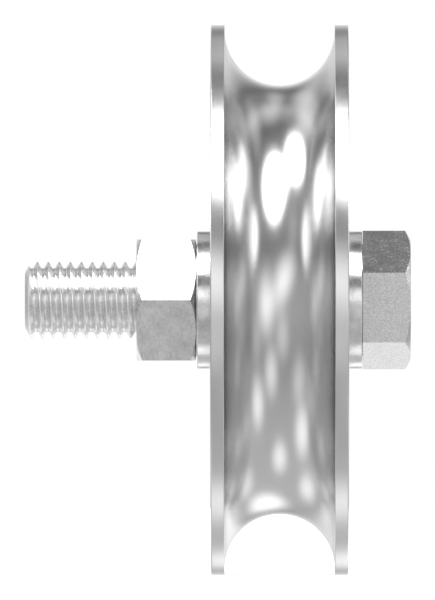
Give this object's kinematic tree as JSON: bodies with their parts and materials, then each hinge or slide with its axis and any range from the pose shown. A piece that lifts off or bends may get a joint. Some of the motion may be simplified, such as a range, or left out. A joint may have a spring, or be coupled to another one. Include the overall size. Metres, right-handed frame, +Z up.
{
  "type": "sliding gate wheel",
  "caption": "Round-groove steel gate wheel on a sealed ball bearing, clamped between collars on a hexagon bolt whose free end mounts it.",
  "frame": {"origin": "centre of the wheel: on the axle's axis, midway between the wheel's two faces", "axes": "+Y along the axle towards the bolt's head, -Y towards its free end, +Z up"},
  "size_m": [0.1, 0.0701, 0.1],
  "materials": {
    "wheel_steel": "bright zinc on turned steel",
    "collar_steel": "bright zinc on turned steel",
    "bolt_steel": "bright zinc, fine grain",
    "nut_steel": "bright zinc, fine grain",
    "bearing_steel": "ground bearing steel",
    "ball_steel": "polished bearing steel",
    "cage_steel": "pressed sheet steel",
    "ring_steel": "phosphated spring steel",
    "seal_rubber": "moulded nitrile rubber"
  },
  "bodies": {
    "axle": {"bolt": "bolt_steel", "nut": "nut_steel", "collar_nut_side": "collar_steel", "collar_head_side": "collar_steel", "bearing_inner_ring": "bearing_steel"},
    "wheel": {"wheel_body": "wheel_steel", "bearing_outer_ring": "bearing_steel", "seal_nut_side": "seal_rubber", "seal_head_side": "seal_rubber", "retaining_ring": "ring_steel"},
    "cage": {"cage_half_nut_side": "cage_steel", "cage_half_head_side": "cage_steel", "cage_rivet_1": "cage_steel", "cage_rivet_2": "cage_steel", "cage_rivet_3": "cage_steel", "cage_rivet_4": "cage_steel", "cage_rivet_5": "cage_steel", "cage_rivet_6": "cage_steel", "cage_rivet_7": "cage_steel", "cage_rivet_8": "cage_steel"},
    "ball_1": {"bearing_ball_1": "ball_steel"},
    "ball_2": {"bearing_ball_2": "ball_steel"},
    "ball_3": {"bearing_ball_3": "ball_steel"},
    "ball_4": {"bearing_ball_4": "ball_steel"},
    "ball_5": {"bearing_ball_5": "ball_steel"},
    "ball_6": {"bearing_ball_6": "ball_steel"},
    "ball_7": {"bearing_ball_7": "ball_steel"},
    "ball_8": {"bearing_ball_8": "ball_steel"}
  },
  "joints": [
    {"name": "wheel_spin", "type": "hinge", "parent": "axle", "child": "wheel", "pos_m": [0, 0, 0], "axis": [0, 1, 0], "continuous": true},
    {"name": "cage_spin", "type": "hinge", "parent": "axle", "child": "cage", "pos_m": [0, 0, 0], "axis": [0, 1, 0], "continuous": true},
    {"name": "ball_1_spin", "type": "hinge", "parent": "cage", "child": "ball_1", "pos_m": [0, 0, 0.01675], "axis": [0, 1, 0], "continuous": true},
    {"name": "ball_2_spin", "type": "hinge", "parent": "cage", "child": "ball_2", "pos_m": [0.01184, 0, 0.01184], "axis": [0, 1, 0], "continuous": true},
    {"name": "ball_3_spin", "type": "hinge", "parent": "cage", "child": "ball_3", "pos_m": [0.01675, 0, 0], "axis": [0, 1, 0], "continuous": true},
    {"name": "ball_4_spin", "type": "hinge", "parent": "cage", "child": "ball_4", "pos_m": [0.01184, 0, -0.01184], "axis": [0, 1, 0], "continuous": true},
    {"name": "ball_5_spin", "type": "hinge", "parent": "cage", "child": "ball_5", "pos_m": [0, 0, -0.01675], "axis": [0, 1, 0], "continuous": true},
    {"name": "ball_6_spin", "type": "hinge", "parent": "cage", "child": "ball_6", "pos_m": [-0.01184, 0, -0.01184], "axis": [0, 1, 0], "continuous": true},
    {"name": "ball_7_spin", "type": "hinge", "parent": "cage", "child": "ball_7", "pos_m": [-0.01675, 0, 0], "axis": [0, 1, 0], "continuous": true},
    {"name": "ball_8_spin", "type": "hinge", "parent": "cage", "child": "ball_8", "pos_m": [-0.01184, 0, 0.01184], "axis": [0, 1, 0], "continuous": true}
  ],
  "couplings": [
    {"joint": "cage_spin", "follows": "wheel_spin", "ratio": 0.61848},
    {"joint": "ball_1_spin", "follows": "wheel_spin", "ratio": 1.9916},
    {"joint": "ball_2_spin", "follows": "wheel_spin", "ratio": 1.9916},
    {"joint": "ball_3_spin", "follows": "wheel_spin", "ratio": 1.9916},
    {"joint": "ball_4_spin", "follows": "wheel_spin", "ratio": 1.9916},
    {"joint": "ball_5_spin", "follows": "wheel_spin", "ratio": 1.9916},
    {"joint": "ball_6_spin", "follows": "wheel_spin", "ratio": 1.9916},
    {"joint": "ball_7_spin", "follows": "wheel_spin", "ratio": 1.9916},
    {"joint": "ball_8_spin", "follows": "wheel_spin", "ratio": 1.9916}
  ]
}
